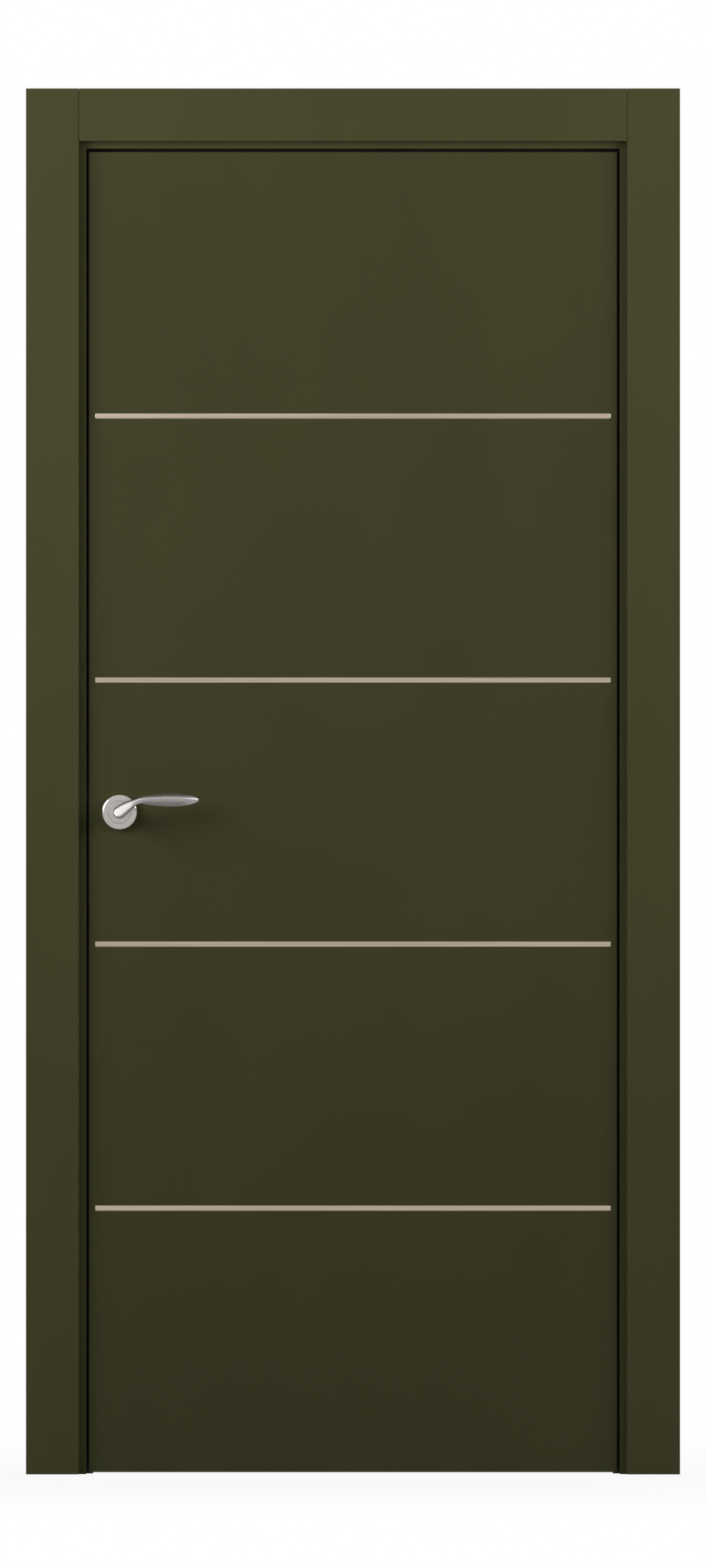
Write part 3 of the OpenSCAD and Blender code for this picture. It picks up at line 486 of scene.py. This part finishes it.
print("the blade rises by", RISE_Z, "mm over", RISE_X, "mm")

# %% [markdown]
# Satin metal shows the slope of its surface as light and dark, so the sections count as much as the
# outline. Over the spindle the section is flat in front and tilts up to the light. Along the grip it is a
# soft crest, above the middle, between two flanks.

# %% Sections of the blade
HUB_DIP, HUB_TILT = 1.5, np.tan(np.radians(18))
CREST, CREST_ROUND = 0.3, 0.25
TOP_FLANK, FOOT_FLANK = 1.42, 1.12
HUB_FULLNESS, GRIP_FULLNESS = 5.0, 2.0
LEVEL_SHARE, LEVEL_POWER = 0.7, 3
TILT_FROM, TILT_RUN = 23.0, 14.0
FLANKS_FROM, FLANKS_RUN = 15.0, 24.0
SLIM_FROM, SLIM_RUN = 6.0, 50.0
HUB_RINGS, HUB_START, BLADE_RINGS, AROUND = 24, 0.15, 81, 96


def crest(w):
    """How far the grip's front falls back from its crest, in half heights, at the height w of -1 to 1.
    With x = w - crest it is the mean of both flanks' slopes times (sqrt(x^2 + c^2) - c), plus half their
    difference times x: two straight flanks that meet in a round of size c."""
    x = w - CREST
    mean = (TOP_FLANK + FOOT_FLANK) / 2
    half_difference = (TOP_FLANK - FOOT_FLANK) / 2
    return mean * (np.sqrt(x**2 + CREST_ROUND**2) - CREST_ROUND) + half_difference * x


def blade_rings(reach, stand_off):
    """Ring at each place: depth x cos a outwards and half height x sin a across, with cos and sin raised
    to the power of 2 / fullness. Past the hub the front changes to the crest with its two flanks, which
    level out at the tip. At the hub the depth falls by tilt x half height x sin a, so that it faces up."""
    hub_end = -HUB_R * np.cos(np.linspace(HUB_START, np.pi / 2, HUB_RINGS))
    s = np.concatenate([hub_end, reach * np.sin(np.linspace(0, np.pi / 2, BLADE_RINGS)[1:])])
    centre, slope = blade_centre(s, stand_off)
    front, back = blade_depths(s)
    half = blade_half_height(s)[:, None]
    tilted = 1 - ease((s - TILT_FROM) / TILT_RUN)
    centre[:, 1] -= HUB_DIP * tilted
    across = np.stack([-np.sin(slope), 0 * slope, np.cos(slope)], axis=-1)[:, None, :]
    outward = np.array([0.0, 1.0, 0.0])
    angle = np.linspace(0, 2 * np.pi, AROUND, endpoint=False)[None, :]
    grip = ease((s - FLANKS_FROM) / FLANKS_RUN)[:, None]
    level = 1 - LEVEL_SHARE * tip_share(s)[:, None] ** LEVEL_POWER
    slimmed = ease((s - SLIM_FROM) / SLIM_RUN)[:, None]
    fullness = HUB_FULLNESS + (GRIP_FULLNESS - HUB_FULLNESS) * slimmed
    u = np.sign(np.cos(angle)) * np.abs(np.cos(angle)) ** (2 / fullness)
    w = np.sign(np.sin(angle)) * np.abs(np.sin(angle)) ** (2 / fullness)
    flanks = np.clip(1 - half / front[:, None] * level * crest(w), 0, 1)
    u = np.where(u > 0, u + grip * (flanks - u), u)
    tilt = HUB_TILT * tilted[:, None] * half * w
    depth = np.where(u > 0, front[:, None] - tilt, back[:, None])
    return centre[:, None, :] + (depth * u)[..., None] * outward + (half * w)[..., None] * across


print("the grip's front falls back by", round(crest(-1), 2), "half heights at its foot")

# %% [markdown]
# The neck is turned, like the rose, and it ends inside the blade, where its end can't be seen. Both levers
# are the same casting on one square spindle. The one behind is the mirror image of the one in front, so
# one set of rings serves both, and only the sign of y differs.

# %% Neck, and a lever on each side of the leaf
NECK_FOOT, NECK_SINK, NECK_RINGS = 7.6, 4.0, 12
NECK_R, NECK_TAPER = 8.5, 0.7


def neck_rings(stand_off):
    """Round neck about the spindle's axis, its radius eased from 8.5 at the rose to 7.8 at the blade."""
    share = np.linspace(0, 1, NECK_RINGS)
    out = NECK_FOOT + (stand_off - GRIP_DEPTH + NECK_SINK - NECK_FOOT) * share
    radius = NECK_R - NECK_TAPER * ease(share)
    turn = np.linspace(0, 2 * np.pi, AROUND, endpoint=False)
    x = radius[:, None] * np.cos(turn)
    z = radius[:, None] * np.sin(turn)
    return np.stack([x, np.broadcast_to(out[:, None], x.shape), z], axis=-1)


for side in ("front", "back"):
    low, high = (np.array(corner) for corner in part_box(side + "_lever"))
    rose_low, rose_high = (np.array(corner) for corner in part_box(side + "_rose"))
    spindle = (rose_low + rose_high) / 2
    outward = np.sign(spindle[1])
    face = rose_low[1] if outward > 0 else rose_high[1]
    reach = (high[0] - spindle[0]) / MM
    stand_off = (max(abs(low[1]), abs(high[1])) - abs(face)) / MM
    origin = np.array([spindle[0], face, spindle[2]])
    shells = [
        origin + rings * MM * np.array([1, outward, 1])
        for rings in (blade_rings(reach, stand_off), neck_rings(stand_off))
    ]
    name = side + "_lever_handle"
    add_piece(name, shells, "lever", [side + "_lever"], bright, crease_degrees=60)

# %% [markdown]
# ## Latch spring
#
# A coil spring behind the latch bolt pushes it out. It is the one piece that changes its form when the
# door is used: as the lever draws the bolt in, the coil gets shorter. Here the spring is a round wire
# carried along a helix, as long as the plain solid, with a mesh of its own.

# %% Coil of round wire on a helix
WIRE, COIL_TURNS, COIL_STEPS, WIRE_SIDES = 0.5 * MM, 7, 36, 12


def coil_rings(node):
    """Helix along x: at turn a the wire's centre is at radius (cos a, sin a), and the wire's own circle
    of angle b widens the radius by wire x cos b and shifts x by wire x sin b."""
    low, high = (np.array(corner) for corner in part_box(node))
    middle, radius = (low + high) / 2, (high[2] - low[2]) / 2 - WIRE
    turn = np.linspace(0, 2 * np.pi * COIL_TURNS, COIL_TURNS * COIL_STEPS + 1)[:, None]
    along = np.linspace(low[0] + WIRE, high[0] - WIRE, len(turn))[:, None]
    around = np.linspace(0, 2 * np.pi, WIRE_SIDES, endpoint=False)[None, :]
    reach = radius + WIRE * np.cos(around)
    x = along - WIRE * np.sin(around)
    return np.stack([x, middle[1] + reach * np.cos(turn), middle[2] + reach * np.sin(turn)], axis=-1)


rings = coil_rings("latch_spring")
coil = add_piece("latch_spring_coil", [rings], "leaf", ["latch_spring"], steel)
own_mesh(coil)

# %% [markdown]
# ## Light and background
#
# The product stands in a white studio. For the camera, and in mirror images, the surroundings are plain
# white. As a source of light they are nearly dark, and only a faint light from all round fills the
# shadows. The kind of ray tells the two apart, so one world serves for both.

# %% White surroundings
FILL = 0.01
SEEN_RAYS = ["Is Camera Ray", "Is Glossy Ray", "Is Transmission Ray"]


def brightest_of(tree, path, names):
    """The largest of several Light Path outputs: 1 where the ray is of any of those kinds."""
    value = path.outputs[names[0]]
    for name in names[1:]:
        larger = tree.nodes.new("ShaderNodeMath")
        larger.operation = "MAXIMUM"
        tree.links.new(value, larger.inputs[0])
        tree.links.new(path.outputs[name], larger.inputs[1])
        value = larger.outputs[0]
    return value


world = bpy.data.worlds.new("white_studio")
world.use_nodes = True
scene.world = world
tree = world.node_tree
fill = tree.nodes["Background"]
fill.inputs["Color"].default_value = (1, 1, 1, 1)
fill.inputs["Strength"].default_value = FILL
white = tree.nodes.new("ShaderNodeBackground")
white.inputs["Color"].default_value = (1, 1, 1, 1)
white.inputs["Strength"].default_value = 1.0
path = tree.nodes.new("ShaderNodeLightPath")
seen = brightest_of(tree, path, SEEN_RAYS)
mix = tree.nodes.new("ShaderNodeMixShader")
tree.links.new(seen, mix.inputs["Fac"])
tree.links.new(fill.outputs["Background"], mix.inputs[1])
tree.links.new(white.outputs["Background"], mix.inputs[2])
tree.links.new(mix.outputs["Shader"], tree.nodes["World Output"].inputs["Surface"])
print("fill light of strength", FILL)

# %% [markdown]
# The upper half of the door is evenly lit, and its feet get about half of that light. Two large soft
# lamps give that fall-off: they hang beside the door at the height of its head and are turned upwards a
# little, the left one stronger. Because they stand well to the side, the frame shades the edges of the
# leaf, as in a real reveal. A weaker lamp in front hangs where the flat drop of the lever mirrors it, and
# one more serves the back.

# %% Soft lamps
def hang_lamp(name, place, aim, size, watts):
    """A round soft lamp at a place, turned so that its -z axis points along aim - place."""
    lamp = bpy.data.lights.new(name, "AREA")
    lamp.shape = "DISK"
    lamp.size = size
    lamp.energy = watts
    lamp_object = bpy.data.objects.new(name, lamp)
    lamp_object.location = place
    lamp_object.rotation_euler = (Vector(aim) - Vector(place)).to_track_quat("-Z", "Y").to_euler()
    scene.collection.objects.link(lamp_object)
    print(name, watts, "W at", place)


hang_lamp("left_lamp", place=(-2.7, -1.6, 2.3), aim=(0, 0, 2.65), size=2.0, watts=102)
hang_lamp("right_lamp", place=(2.7, -1.6, 2.3), aim=(0, 0, 2.65), size=2.0, watts=88)
hang_lamp("top_lamp", place=(-1.3, -2.5, 2.65), aim=(0, 0, 1.9), size=1.8, watts=11)
hang_lamp("back_lamp", place=(0.6, 2.6, 2.4), aim=(0, 0, 1.6), size=1.8, watts=100)

# %% [markdown]
# The floor is a pale disc. To the eye, and in mirror images, most of it glows in the white of the
# background. The rest is an ordinary pale surface, so that a soft shadow of the door stays on it. Away
# from the door the glow grows to all of it, so the floor has no edge against the background.

# %% Pale floor
FLOOR_RADIUS, FLOOR_SIDES, FLOOR_Z = 4.0, 96, -1 * MM
FLOOR_TONE, FLOOR_ROUGHNESS = 0.35, 0.9
GLOW_NEAR, GLOW_FAR = 0.92, 1.0
FADE_FROM, FADE_TO = 0.6, 0.6 * FLOOR_RADIUS
floor_turn = np.linspace(0, 2 * np.pi, FLOOR_SIDES, endpoint=False)
floor_x, floor_y = FLOOR_RADIUS * np.cos(floor_turn), FLOOR_RADIUS * np.sin(floor_turn)
floor_points = np.stack([floor_x, floor_y, np.full(FLOOR_SIDES, FLOOR_Z)], axis=-1)
floor_mesh = bpy.data.meshes.new("studio_floor")
floor_mesh.from_pydata(floor_points.tolist(), [], [list(range(FLOOR_SIDES))])
floor = bpy.data.objects.new("studio_floor", floor_mesh)
scene.collection.objects.link(floor)
floor_paint = bpy.data.materials.new("pale_floor")
floor_paint.use_nodes = True
tree = floor_paint.node_tree
shader = tree.nodes["Principled BSDF"]
shader.inputs["Base Color"].default_value = (FLOOR_TONE, FLOOR_TONE, FLOOR_TONE, 1)
shader.inputs["Roughness"].default_value = FLOOR_ROUGHNESS
glow = tree.nodes.new("ShaderNodeEmission")
glow.inputs["Color"].default_value = (1, 1, 1, 1)
glow.inputs["Strength"].default_value = 1.0
path = tree.nodes.new("ShaderNodeLightPath")
place = tree.nodes.new("ShaderNodeTexCoord")
away = tree.nodes.new("ShaderNodeVectorMath")
away.operation = "LENGTH"
fade = tree.nodes.new("ShaderNodeMapRange")
fade.inputs["From Min"].default_value = FADE_FROM
fade.inputs["From Max"].default_value = FADE_TO
fade.inputs["To Min"].default_value = GLOW_NEAR
fade.inputs["To Max"].default_value = GLOW_FAR
share = tree.nodes.new("ShaderNodeMath")
share.operation = "MULTIPLY"
mix = tree.nodes.new("ShaderNodeMixShader")
tree.links.new(place.outputs["Object"], away.inputs[0])
tree.links.new(away.outputs["Value"], fade.inputs["Value"])
tree.links.new(brightest_of(tree, path, SEEN_RAYS), share.inputs[0])
tree.links.new(fade.outputs["Result"], share.inputs[1])
tree.links.new(share.outputs[0], mix.inputs["Fac"])
tree.links.new(shader.outputs["BSDF"], mix.inputs[1])
tree.links.new(glow.outputs["Emission"], mix.inputs[2])
tree.links.new(mix.outputs["Shader"], tree.nodes["Material Output"].inputs["Surface"])
floor_mesh.materials.append(floor_paint)
print("floor of", FLOOR_RADIUS, "m")

# %% [markdown]
# ## Camera
#
# The picture looks straight at the door and shows no perspective: verticals stay vertical and the reveals
# of the frame cannot be seen. A very long lens from forty metres gives that view. The height of the
# picture at the door follows from the frame: the door fills 1767 of the 2000 lines, and its foot stands
# on line 1880.

# %% Long lens, square to the door
IMAGE_LINES = 2000
DOOR_LINES = 1767.2
FOOT_LINE = 1880.3
DISTANCE = 40.0
door_height = cad_box[1][2] - cad_box[0][2]
metres_per_line = door_height / DOOR_LINES
camera_data = bpy.data.cameras.new("front_camera")
camera_data.lens = camera_data.sensor_width * DISTANCE / (IMAGE_LINES * metres_per_line)
camera_data.clip_end = 2.5 * DISTANCE
camera = bpy.data.objects.new("front_camera", camera_data)
camera_height = (FOOT_LINE - IMAGE_LINES / 2) * metres_per_line
camera.location = (0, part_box("front_skin")[0][1] - DISTANCE, camera_height)
camera.rotation_euler = (np.pi / 2, 0, 0)
scene.collection.objects.link(camera)
scene.camera = camera
print("lens", round(camera_data.lens, 1), "mm at height", round(camera_height, 3), "m")
